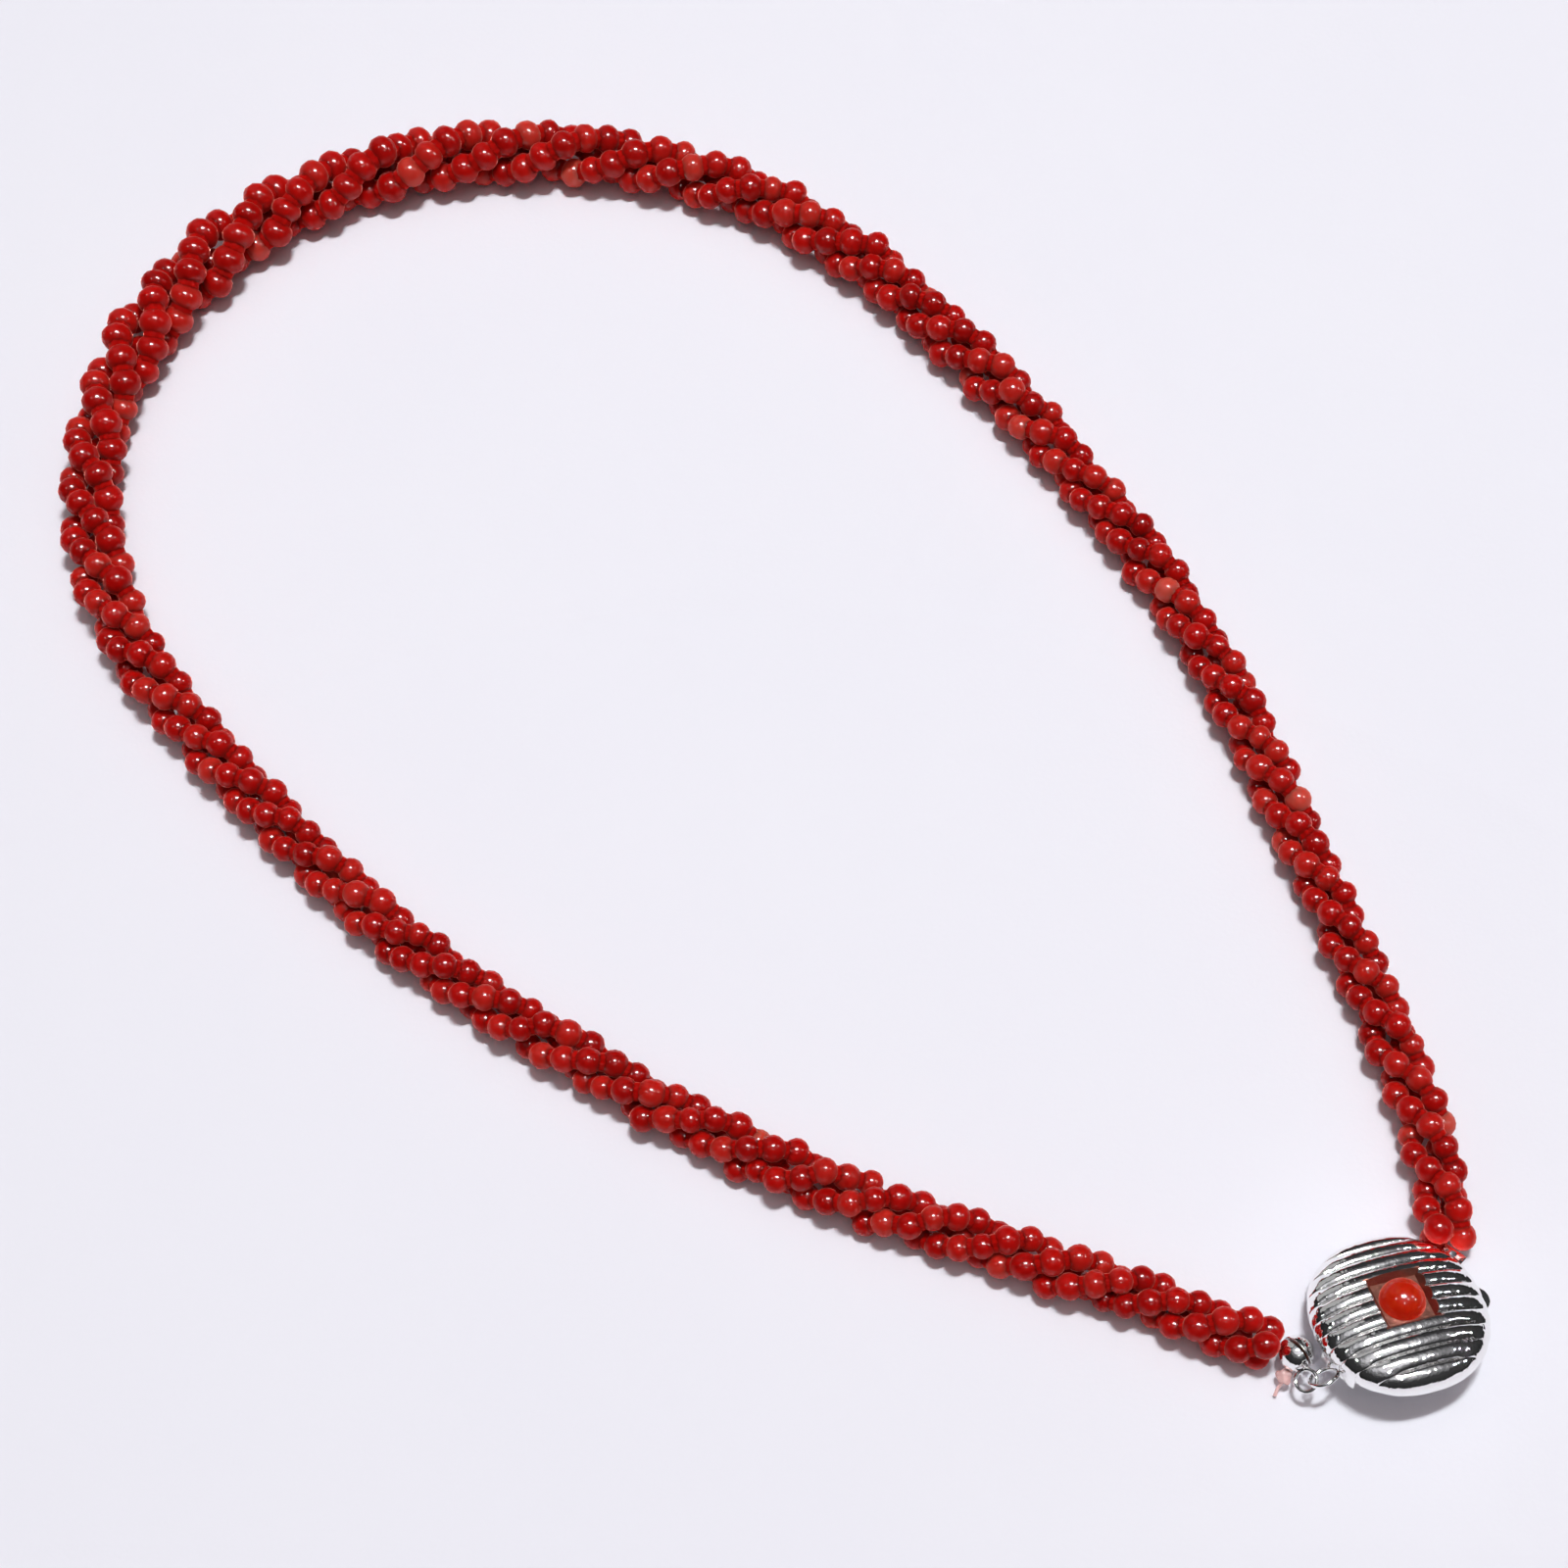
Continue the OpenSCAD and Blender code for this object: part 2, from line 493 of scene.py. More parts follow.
class ShapeTree(Nodes):
    """Node tree that shapes a piece by named sizes and makes it real."""

    def __init__(self, name: str, **sizes: str) -> None:
        """Starts a tree from geometry to geometry.

        Args:
            name: The tree's name.
            **sizes: The kind of each size, by its name.
        """
        super().__init__(bpy.data.node_groups.new(name, "GeometryNodeTree"))
        face = self.tree.interface
        for size, kind in {"Geometry": "Geometry", **sizes}.items():
            face.new_socket(size, in_out="INPUT", socket_type=f"NodeSocket{kind}")
        face.new_socket("Geometry", in_out="OUTPUT", socket_type="NodeSocketGeometry")
        self.start = self.add("NodeGroupInput").outputs

    def attribute(self, name: str) -> NodeSocket:
        """Reads a vector stored on the points."""
        settings = {"data_type": "FLOAT_VECTOR"}
        return self.add("GeometryNodeInputNamedAttribute", settings, Name=name).outputs["Attribute"]

    def real(self, shape: NodeSocket) -> NodeSocket:
        """Makes instances real."""
        return self.add("GeometryNodeRealizeInstances", Geometry=shape).outputs["Geometry"]

    def swell(self, shape: NodeSocket, reach: NodeSocket) -> NodeSocket:
        """Moves the points of a shape along their normals.

        Args:
            shape: The shape.
            reach: How far each point moves.

        Returns:
            The moved shape.
        """
        normal = self.add("GeometryNodeInputNormal").outputs["Normal"]
        along = self.add("ShaderNodeVectorMath", {"operation": "SCALE"}, normal, Scale=reach)
        move = self.add("GeometryNodeSetPosition", Geometry=shape, Offset=along.outputs["Vector"])
        return move.outputs["Geometry"]

    def close(self, shape: NodeSocket, material: Material) -> None:
        """Ends the tree with real geometry in its material."""
        paint = self.add("GeometryNodeSetMaterial", Geometry=self.real(shape), Material=material)
        self.add("NodeGroupOutput", Geometry=paint.outputs["Geometry"])

    def run(self, piece: Object, **sizes: float) -> None:
        """Runs the tree on a piece and keeps what it makes.

        Args:
            piece: The piece.
            **sizes: The tree's sizes, by their names.
        """
        tool = piece.modifiers.new(self.tree.name, "NODES")
        tool.node_group = self.tree
        for item in self.tree.interface.items_tree:
            if item.in_out == "INPUT" and item.name in sizes:
                tool[item.identifier] = sizes[item.name]
        settle(piece)


# Finishes


@dataclass(frozen=True)
class Coral:
    """Polished red coral: deep and saturated, with paler, milkier beads among it."""

    name: str = "coral"
    deep: Colour = (0.26, 0.0015, 0.0012)
    red: Colour = (0.42, 0.004, 0.003)
    pale: Colour = (0.48, 0.02, 0.013)
    cloud: Colour = (0.56, 0.065, 0.045)
    # Bright red of the thread in the bores, lighter than the deep beads: painted red glow of light through
    # the coral in the chinks between beads.
    thread: Colour = (0.5, 0.005, 0.004)
    grain: float = 900.0
    clouds: float = 260.0
    gloss: float = 0.4

    def _body(self, recipe: Recipe) -> tuple[NodeSocket, NodeSocket | float]:
        """Colours each bead by its tone, of which -1 is the dull thread between the beads, whose bright red
        is painted glow of light through the coral.

        Args:
            recipe: The material's nodes.

        Returns:
            The colour and the weight of the gloss.
        """
        tone = recipe.attribute("bead_tone")
        stops = ((0.0, self.deep), (0.45, self.red), (0.85, self.pale), (1.0, self.cloud))
        # Mask of the thread, tone -1, which is painted bright red for the glow in the chinks.
        thread_glow_mask = recipe.spread(tone, (0.0, 1.0), (0.0, -1.0))
        colour = recipe.mix(thread_glow_mask, recipe.ramp(tone, stops), self.thread)
        return colour, recipe.spread(tone, (0.0, self.gloss), (-1.0, 0.0))

    def material(self) -> Material:
        """Builds the material.

        Returns:
            The material.
        """
        recipe = Recipe(self.name)
        body, gloss = self._body(recipe)
        cloudy = recipe.spread(recipe.noise(self.clouds, 4.0, 0.6), (-0.3, 0.3))
        recipe.fix(
            Base_Color=recipe.mix(cloudy, body, self.pale),
            IOR=1.55,
            Specular_IOR_Level=0.0,
            Roughness=0.5,
            Subsurface_Weight=0.8,
            Subsurface_Radius=(1.0, 0.12, 0.08),
            Subsurface_Scale=0.002,
            Coat_Weight=gloss,
            Coat_Roughness=0.145,
            Sheen_Weight=1.0,
            Sheen_Roughness=0.3,
            Sheen_Tint=(1.0, 0.3, 0.24),
        )
        recipe.bump(recipe.noise(self.grain, 2.0), 0.00002, 0.6)
        return recipe.material


@dataclass(frozen=True)
class StoneCoral(Coral):
    """Coral of the cabochon, in one softly clouded colour and glossier than the beads."""

    name: str = "cabochon_coral"
    red: Colour = (0.42, 0.01, 0.001)
    pale: Colour = (0.51, 0.024, 0.003)
    gloss: float = 0.6

    def _body(self, recipe: Recipe) -> tuple[NodeSocket, NodeSocket | float]:
        """Colours the stone by its clouds."""
        return recipe.ramp(recipe.noise(self.clouds), ((0.3, self.red), (0.8, self.pale))), self.gloss


@dataclass(frozen=True)
class Silver:
    """Bright plated silver, polished, with faint wear in its gloss, and painted brown-red shade and
    reflection in its recesses.
    """

    name: str = "silver"
    colour: Colour = (0.93, 0.925, 0.915)
    worn: Colour = (0.80, 0.79, 0.78)
    # Brown-red of the clasp's window and the insides of the bead tip's cups: painted shade of these
    # recesses and painted reflection of the red coral.
    seat: Colour = (0.28, 0.12, 0.09)
    rough: Pair = (0.015, 0.05)
    recess_shade_rough: float = 0.32

    def material(self) -> Material:
        """Builds the material.

        Returns:
            The material.
        """
        recipe = Recipe(self.name)
        wear = recipe.noise(420.0, 5.0, 0.65)
        # Mask of the recess faces that take the painted brown-red shade and reflection.
        seat = recipe.attribute("seat")
        tint = recipe.mix(recipe.spread(wear, (0.0, 0.5)), self.colour, self.worn)
        rough = recipe.mix(seat, recipe.spread(wear, self.rough), (self.recess_shade_rough,) * 3)
        recipe.fix(Base_Color=recipe.mix(seat, tint, self.seat), Roughness=rough, Metallic=1.0)
        recipe.bump(recipe.noise(1500.0, 2.0), 0.0002, 0.3)
        return recipe.material


@dataclass(frozen=True)
class Nylon:
    """Clear stringing thread that takes the coral's red."""

    name: str = "thread"
    colour: Colour = (0.86, 0.52, 0.50)
    other: Colour = (0.95, 0.74, 0.72)

    def material(self) -> Material:
        """Builds the material.

        Returns:
            The material.
        """
        recipe = Recipe(self.name)
        tint = recipe.mix(recipe.noise(1500.0), self.colour, self.other)
        recipe.fix(Base_Color=tint, Roughness=0.22, IOR=1.5, Transmission_Weight=0.45)
        recipe.bump(recipe.noise(5000.0, 1.0), 0.00001, 0.5)
        return recipe.material


@dataclass(frozen=True)
class PaleFloor:
    """Plain near-white surface with the faintest lavender in it."""

    name: str = "pale_floor"
    colour: Colour = (0.82, 0.83, 0.91)
    other: Colour = (0.84, 0.85, 0.92)

    def material(self) -> Material:
        """Builds the material.

        Returns:
            The material.
        """
        recipe = Recipe(self.name)
        tint = recipe.mix(recipe.noise(30.0), self.colour, self.other)
        recipe.fix(Base_Color=tint, Roughness=0.6, Specular_IOR_Level=0.0)
        recipe.bump(recipe.noise(1800.0, 3.0), 0.00005, 0.25)
        return recipe.material


# The rope


@dataclass(frozen=True)
class RopeLine:
    """Middle line, bead sizes and twist of the rope, as in the part's source."""

    guides: tuple[Pair, ...] = (
        (73, -81), (53, -68), (30, -60), (8, -52.5), (-13, -40.5),
        (-33, -27.5), (-49.5, -10), (-65.5, 8), (-71.5, 31), (-62.5, 54.5),
        (-44, 68.5), (-19, 72.5), (4, 66), (22, 50), (36, 31),
        (49.5, 11), (57, -11), (65, -33), (72.5, -58), (61, -84),
    )  # fmt: skip
    bead_small: float = 2.6
    bead_large: float = 3.6
    swell_place: float = 0.49
    swell_rise: float = 0.09
    swell_fall: float = 0.13
    turn_lengths: tuple[float, ...] = (15.5, 19, 18, 18, 19.5, 24, 23, 16, 18.5, 16.5, 17.6)
    steps_per_turn: int = 9
    first: float = 0.03
    first_phase: float = -34.0

    @property
    def spans(self) -> int:
        """Number of spans of the B-spline."""
        return len(self.guides) - 3

    def _blend(self, places: np.ndarray, slope: bool) -> np.ndarray:
        """Follows the B-spline.

        Args:
            places: Places along the route.
            slope: Whether its slopes are wanted instead of its points.

        Returns:
            One point or slope for each place.
        """
        span = np.clip(np.floor(places).astype(int), 0, self.spans - 1)
        u = places - span
        if slope:
            weights = np.stack([-((1 - u) ** 2), 3 * u * u - 4 * u, -3 * u * u + 2 * u + 1, u * u]) / 2
        else:
            inner = (3 * u**3 - 6 * u * u + 4, -3 * u**3 + 3 * u * u + 3 * u + 1)
            weights = np.stack([(1 - u) ** 3, *inner, u**3]) / 6
        guides = np.array(self.guides, float)
        return sum(weights[i][:, None] * guides[span + i] for i in range(4))

    def swell(self, places: np.ndarray) -> np.ndarray:
        """How far the beads have grown.

        Args:
            places: Places along the route.

        Returns:
            From 0 for the smallest to 1 for the largest.
        """
        share = places / self.spans
        width = np.where(share < self.swell_place, self.swell_rise, self.swell_fall)
        return np.exp(-(((share - self.swell_place) / width) ** 2) / 2)

    def bead(self, places: np.ndarray) -> np.ndarray:
        """Bead diameter at each place."""
        return self.bead_small + (self.bead_large - self.bead_small) * self.swell(places)

    def turn(self, place: float) -> float:
        """Length of one full turn of the twist at a place."""
        knots = np.linspace(0, self.spans, len(self.turn_lengths))
        return float(np.interp(place, knots, self.turn_lengths))

    def phase(self, places: np.ndarray) -> np.ndarray:
        """Turn of the twist.

        Args:
            places: Places along the route.

        Returns:
            The turn at each place, in radians.
        """
        rings = [self.first]
        while rings[-1] <= self.spans:
            speed = np.linalg.norm(self._blend(np.array(rings[-1:]), True))
            rings.append(rings[-1] + self.turn(rings[-1]) / self.steps_per_turn / speed)
        step = 360 / self.steps_per_turn
        return np.radians(self.first_phase - step * np.interp(places, rings, np.arange(len(rings))))

    def helix(self, places: np.ndarray, turn: float, radius: float) -> np.ndarray:
        """Middle line of one strand.

        Args:
            places: Places along the route.
            turn: The strand's own phase in radians.
            radius: Distance from the rope's middle, in bead diameters.

        Returns:
            One point for each place.
        """
        middle = self._blend(places, False) + np.array(SHIFT)
        slope = self._blend(places, True)
        slope = slope / np.linalg.norm(slope, axis=1)[:, None]
        bead = self.bead(places)
        phase = self.phase(places) + turn
        side = np.cos(phase) * radius * bead
        east = middle[:, 0] - slope[:, 1] * side
        north = middle[:, 1] + slope[:, 0] * side
        height = (radius + 0.5) * bead + np.sin(phase) * radius * bead
        return np.stack([east, north, height], axis=1)


@dataclass
class LooseBeads:
    """All beads while they are laid, with their strands' numbers and their spots on its helix."""

    centres: np.ndarray
    sizes: np.ndarray
    longs: np.ndarray
    owners: np.ndarray
    spots: np.ndarray


@dataclass
class StrungBeads:
    """The beads of one strand after they have been laid."""

    centres: np.ndarray
    sizes: np.ndarray
    longs: np.ndarray
    axes: np.ndarray
    tones: np.ndarray


def space_pairs(centres: np.ndarray, pairs: tuple, want: np.ndarray, taut: bool) -> None:
    """Moves the two beads of each pair along their line to a wanted distance.

    Args:
        centres: All centres, which are changed.
        pairs: Numbers of the pairs' first beads, and of their second beads.
        want: The distance that each pair wants.
        taut: Whether pairs that are too far apart are also pulled together.
    """
    left, right = pairs
    step = centres[right] - centres[left]
    far = np.linalg.norm(step, axis=1)
    short = want - far if taut else np.maximum(0, want - far)
    push = (0.5 * short / far)[:, None] * step
    np.add.at(centres, left, -push)
    np.add.at(centres, right, push)


@dataclass
class BeadRope:
    """Three strands of graduated coral beads, twisted left-handed and laid on the floor."""

    line: RopeLine = field(default_factory=RopeLine)
    strands: int = 3
    seed: int = 20
    samples: int = 9000
    stop_short: float = 1e-6
    wind: float = 0.635
    plump: float = 1.03
    thickness: Pair = (0.925, 0.77)
    size_spread: float = 0.035
    size_limits: Pair = (0.92, 1.08)
    starts: tuple[float, ...] = (-0.1, -0.6, -0.5)
    end_room: float = 0.5
    rounds: int = 260
    passes: int = 3
    regroup: int = 10
    near: float = 1.4
    search: int = 60
    pull: float = 0.12
    least_pull: float = 0.01
    hold: float = 0.5
    press: float = 0.95
    waver: float = 0.05
    axis_waver: float = 0.1
    tone_curve: Pair = (2.2, 3.0)
    pale_from: float = 0.94
    pale_lift: float = 0.35
    sides: int = 12
    rings: int = 8
    crowd: float = 1.08
    lump: float = 1.6
    uneven: float = 0.1
    core: float = 0.68
    core_sides: int = 8

    def string(self) -> list[StrungBeads]:
        """Strings the beads on their helices and lets them settle against each other.

        Returns:
            The laid beads, strand by strand.
        """
        rng = np.random.default_rng(self.seed)
        places = np.linspace(self.line.first, self.line.spans - self.stop_short, self.samples)
        turns = [2 * math.pi * number / self.strands for number in range(self.strands)]
        paths = np.stack([self.line.helix(places, turn, self.wind) for turn in turns])
        base = self.line.bead(places) * self.plump
        flat = np.interp(self.line.swell(places), (0, 1), self.thickness)
        rows = [self._row(number, path, base, flat, rng) for number, path in enumerate(paths)]
        beads = LooseBeads(*(np.concatenate(column) for column in zip(*rows)))
        self._settle(beads, paths, rng)
        return self._share_out(beads, rng)

    def _row(
        self, number: int, path: np.ndarray, base: np.ndarray, flat: np.ndarray, rng: np.random.Generator
    ) -> tuple[np.ndarray, ...]:
        """Sets beads end to end along one helix.

        Args:
            number: The strand's number.
            path: Its helix.
            base: Bead diameter at each point of the helix.
            flat: Share of that diameter that a bead is long.
            rng: Source of chance.

        Returns:
            Centres, sizes, lengths, owners and spots.
        """

        def chance() -> float:
            """Draws how much larger than usual a size is."""
            return float(np.clip(rng.normal(1, self.size_spread), *self.size_limits))

        run = np.concatenate([[0], np.cumsum(np.linalg.norm(np.diff(path, axis=0), axis=1))])
        start, stop, last = self.starts[number], run[-1] + self.end_room, len(run) - 1
        at, strung = start, []
        while at < stop - base[-1] / 2:
            spot = min(int(np.searchsorted(run, at)), last)
            size = base[spot] * chance()
            long = size * flat[spot] * chance()
            strung.append((at + long / 2, size, long))
            at += long
        fit = (stop - start) / (at - start)
        middles, sizes, longs = np.array(strung).T
        spots = np.clip(np.searchsorted(run, start + fit * (middles - start)), 0, last)
        return path[spots], sizes, longs * fit, np.full(len(spots), number), spots

    def _settle(self, beads: LooseBeads, paths: np.ndarray, rng: np.random.Generator) -> None:
        """Pulls beads to their helix and keeps them touching, apart and above the floor.

        Args:
            beads: The beads, whose centres are changed.
            paths: The strands' helices.
            rng: Source of chance.
        """
        centres, sizes, owners, spots = beads.centres, beads.sizes, beads.owners, beads.spots
        order = np.arange(len(sizes))
        window = np.arange(-self.search, self.search + 1)
        same = owners[:-1] == owners[1:]
        first, breaks = np.where(same)[0], np.where(~same)[0]
        want = (beads.longs[first] + beads.longs[first + 1]) / 2
        apart = (np.abs(order[:, None] - order) > 1) | (owners[:, None] != owners)
        left, right = np.where(np.triu(apart, 1))
        wander = rng.normal(0, self.waver, centres.shape) * sizes[:, None]
        ends = np.concatenate([[0], breaks, breaks + 1, order[-1:]])
        held = centres[ends]
        for turn in range(self.rounds):
            look = np.clip(spots[:, None] + window, 0, paths.shape[1] - 1)
            around = paths[owners[:, None], look]
            best = np.argmin(np.linalg.norm(around - centres[:, None], axis=2), axis=1)
            spots = look[order, best]
            goal = paths[owners, spots] + wander
            pull = self.pull * (1 - turn / self.rounds) + self.least_pull
            centres = centres + pull * (goal - centres)
            for _ in range(self.passes):
                space_pairs(centres, (first, first + 1), want, taut=True)
                if turn % self.regroup == 0:
                    gap = np.linalg.norm(centres[left] - centres[right], axis=1)
                    close = gap < self.near * (sizes[left] + sizes[right]) / 2
                    pairs = (left[close], right[close])
                room = (sizes[pairs[0]] + sizes[pairs[1]]) / 2 * self.press
                space_pairs(centres, pairs, room, taut=False)
                centres[:, 2] = np.maximum(centres[:, 2], sizes / 2)
            centres[ends] = held * self.hold + centres[ends] * (1 - self.hold)
        beads.centres = centres

    def _share_out(self, beads: LooseBeads, rng: np.random.Generator) -> list[StrungBeads]:
        """Splits the beads by strand and gives each its axis and tone.

        Args:
            beads: The laid beads.
            rng: Source of chance.

        Returns:
            The beads of each strand.
        """
        strung = []
        for number in range(self.strands):
            mine = beads.owners == number
            points = beads.centres[mine]
            axes = np.gradient(points, axis=0)
            axes /= np.linalg.norm(axes, axis=1)[:, None]
            axes += rng.normal(0, self.axis_waver, axes.shape)
            pale = (rng.random(len(points)) > self.pale_from) * self.pale_lift
            tones = np.clip(rng.beta(*self.tone_curve, len(points)) + pale, 0, 1)
            strung.append(StrungBeads(points, beads.sizes[mine], beads.longs[mine], axes, tones))
            log.info("strand %d: %d beads", number + 1, len(points))
        return strung

    def _tree(self, material: Material) -> ShapeTree:
        """Builds the tree that sets a bead on every point and makes it real.

        Args:
            material: The beads' material.

        Returns:
            The tree.
        """
        tree = ShapeTree("bead_string", Sides="Int", Rings="Int", Uneven="Float", Core="Float")
        sides, rings = tree.start["Sides"], tree.start["Rings"]
        ball = tree.add("GeometryNodeMeshUVSphere", Segments=sides, Rings=rings, Radius=1.0)
        axis, size = tree.attribute("bead_axis"), tree.attribute("bead_size")
        aim = tree.add("FunctionNodeAlignRotationToVector", {"axis": "Z"}, Vector=axis)
        place = tree.add(
            "GeometryNodeInstanceOnPoints",
            Points=tree.start["Geometry"],
            Instance=ball.outputs["Mesh"],
            Rotation=aim.outputs["Rotation"],
            Scale=size,
        )
        both = tree.add("GeometryNodeJoinGeometry", Geometry=self._thread_glow_core(tree, size))
        tree.feed(both.inputs["Geometry"], place.outputs["Instances"])
        lump = tree.add("ShaderNodeTexNoise", Scale=1 / (self.lump * MM), Detail=0.0)
        reach = tree.sum("SUBTRACT", lump.outputs["Fac"], 0.5)
        reach = tree.sum("MULTIPLY", reach, tree.start["Uneven"])
        lumpy = tree.swell(tree.real(both.outputs["Geometry"]), reach)
        even = tree.add("GeometryNodeSetShadeSmooth", Geometry=lumpy)
        tree.close(even.outputs["Geometry"], material)
        return tree

    def _thread_glow_core(self, tree: ShapeTree, size: NodeSocket) -> NodeSocket:
        """Adds the thread in the bores; its tone of -1 makes it dull and bright red, a painted red glow of
        light through the coral in the chinks between beads.

        Args:
            tree: The tree that sets the beads.
            size: Size of each bead.

        Returns:
            The thread.
        """
        line = tree.add("GeometryNodeMeshToCurve", Mesh=tree.start["Geometry"])
        sizes = {"Resolution": self.core_sides, "Radius": tree.start["Core"]}
        ring = tree.add("GeometryNodeCurvePrimitiveCircle", **sizes)
        tube = tree.add(
            "GeometryNodeCurveToMesh",
            Curve=line.outputs["Curve"],
            Profile_Curve=ring.outputs["Curve"],
            Scale=tree.split(size)["X"],
        )
        settings = {"data_type": "FLOAT", "domain": "POINT"}
        mesh = tube.outputs["Mesh"]
        # A tone of -1 gives the thread the painted red glow of the chinks.
        tone = tree.add("GeometryNodeStoreNamedAttribute", settings, mesh, Name="bead_tone", Value=-1.0)
        return tone.outputs["Geometry"]

    def _points(self, name: str, beads: StrungBeads) -> Object:
        """Makes a strand's points, with each bead's axis, size and tone on them.

        Args:
            name: The piece's name.
            beads: The strand's beads.

        Returns:
            The piece, with a line from each point to the next.
        """
        joins = [(i, i + 1) for i in range(len(beads.centres) - 1)]
        piece = mesh_object(name, beads.centres * MM, [], joins)
        radius = beads.sizes / 2 * MM
        scale = np.stack([radius, radius, beads.longs / 2 * self.crowd * MM], axis=1)
        for key, kind, channel, values in (
            ("bead_axis", "FLOAT_VECTOR", "vector", beads.axes),
            ("bead_size", "FLOAT_VECTOR", "vector", scale),
            ("bead_tone", "FLOAT", "value", beads.tones),
        ):
            layer = piece.data.attributes.new(key, kind, "POINT")
            layer.data.foreach_set(channel, values.astype(np.float32).ravel())
        return piece

    def build(self, coral: Material) -> None:
        """Makes one piece of beads for each strand.

        Args:
            coral: The beads' material.
        """
        tree = self._tree(coral)
        for number, beads in enumerate(self.string(), start=1):
            piece = self._points(f"beads_{number}", beads)
            tree.run(piece, Sides=self.sides, Rings=self.rings, Uneven=self.uneven * MM, Core=self.core)
            finish_piece(piece, coral, f"strand_{number}")


# The clasp


@dataclass(frozen=True)
class ClaspPlace:
    """Where the clasp lies: its long axis along X and its face up in its own frame."""

    middle: Place = (63.9 + SHIFT[0], -65.7 + SHIFT[1], 4.15)
    lean: float = 17.0
    turn: float = 40.0

    def matrix(self) -> Matrix:
        """From the clasp's own millimetres to the frame's metres."""
        return TO_METRES @ Matrix.Translation(self.middle) @ rotation(-self.lean, "X") @ rotation(self.turn)


@dataclass
class RibbedClasp:
    """Round box clasp: a ribbed lens with a sunken window, a mouth, a lug and a catch."""

    place: ClaspPlace = field(default_factory=ClaspPlace)
    diameter: float = 16.8
    height: float = 6.6
    power: float = 2.2
    end_inset: float = 0.03
    end_half: Pair = (0.3, 0.15)
    rib_count: int = 11
    groove: float = 0.45
    rib_turn: float = 16.0
    rim_fade: Pair = (7.2, 7.9)
    rim_left: float = 0.25
    window: float = 5.7
    window_depth: float = 0.9
    window_rise: float = 1.2
    window_slope: Pair = (-1.1, 0.6)
    recess_shade_slack: float = 0.01
    band_inset: float = 0.3
    band_height: float = 0.9
    band_sides: int = 128
    gap: float = 0.12
    past: float = 1.0
    mouth_x: float = -7.0
    mouth_y: float = 0.1
    mouth_width: float = 4.2
    mouth_top: float = -0.7
    mouth_bottom: float = -2.3
    mouth_under: float = 1.5
    blade_width: float = 3.6
    blade_thick: float = 0.8
    blade_length: float = 4.5
    blade_z: float = -1.7
    lug_length: float = 1.1
    lug_root: float = 1.2
    lug_width: float = 2.4
    lug_turn: float = 7.0
    lug_thick: float = 0.9
    lug_hole: float = 0.7
    hole_sides: int = 24
    catch_turn: float = -27.0
    catch_radius: float = 1.5
    catch_inset: float = 0.7
    catch_drop: float = 0.2
    catch_round: float = 0.38
    catch_sides: int = 48
    slices_per_rib: int = 10
    slice_points: int = 96
    sharp: float = 38.0

    @property
    def radius(self) -> float:
        """Radius over the ribs."""
        return self.diameter / 2

    @property
    def pitch(self) -> float:
        """From one rib to the next."""
        return self.diameter / self.rib_count

    @property
    def rib_angle(self) -> float:
        """Turn of the ribs and the window in the clasp's own frame."""
        return self.rib_turn - self.place.turn

    @property
    def window_floor(self) -> float:
        """Height of the window's floor over the clasp's middle."""
        return self.height / 2 - self.window_depth

    def _lens(self) -> Object:
        """Makes the smooth lens in slices across the ribs, finer beside each groove.

        Returns:
            The lens, with its ribs to come along X.
        """
        within = 0.5 * np.sin(np.linspace(-math.pi / 2, math.pi / 2, self.slices_per_rib + 1))
        ribs = np.arange(self.rib_count) - (self.rib_count - 1) / 2
        places = [(rib + x) * self.pitch for rib in ribs for x in within[:-1]]
        end = self.radius - self.end_inset
        places = np.clip(np.array([*places, self.radius]), -end, end)
        turn = -circle(self.slice_points)
        taper = (1 - np.abs(places / self.radius) ** self.power) ** (1 / self.power)
        across = np.sign(np.cos(turn)) * np.abs(np.cos(turn)) ** (2 / self.power)
        up = np.sign(np.sin(turn)) * np.abs(np.sin(turn)) ** (2 / self.power)
        wide = np.maximum(self.end_half[0], self.radius * taper)[:, None] * across
        tall = np.maximum(self.end_half[1], self.height / 2 * taper)[:, None] * up
        along = np.broadcast_to(places[:, None], wide.shape)
        lens = mesh_object("clasp", *loft(np.stack([wide, along, tall], axis=2)))
        outward(lens)
        return lens

    def _rib_tree(self, silver: Material) -> ShapeTree:
        """Builds the tree that presses the grooves between the ribs into the lens.

        Args:
            silver: The clasp's material.

        Returns:
            The tree.
        """
        tree = ShapeTree("clasp_ribs", Pitch="Float", Depth="Float")
        where = tree.split(tree.add("GeometryNodeInputPosition").outputs["Position"])
        east, north = where["X"], where["Y"]
        ribs = tree.sum("DIVIDE", north, tree.start["Pitch"])
        within = tree.sum("SUBTRACT", ribs, tree.sum("ROUND", ribs))
        square = tree.sum("MULTIPLY", within, within)
        bow = tree.sum("SUBTRACT", 1.0, tree.sum("MULTIPLY", 4.0, square))
        arch = tree.sum("SUBTRACT", 1.0, tree.sum("SQRT", tree.sum("MAXIMUM", bow, 0.0)))
        reach = tree.sum("ADD", tree.sum("MULTIPLY", east, east), tree.sum("MULTIPLY", north, north))
        fade = tree.spread(tree.sum("SQRT", reach), (-1.0, -self.rim_left), self.rim_fade, eased=True)
        cut = tree.sum("MULTIPLY", tree.sum("MULTIPLY", arch, tree.start["Depth"]), fade)
        tree.close(tree.swell(tree.start["Geometry"], cut), silver)
        return tree

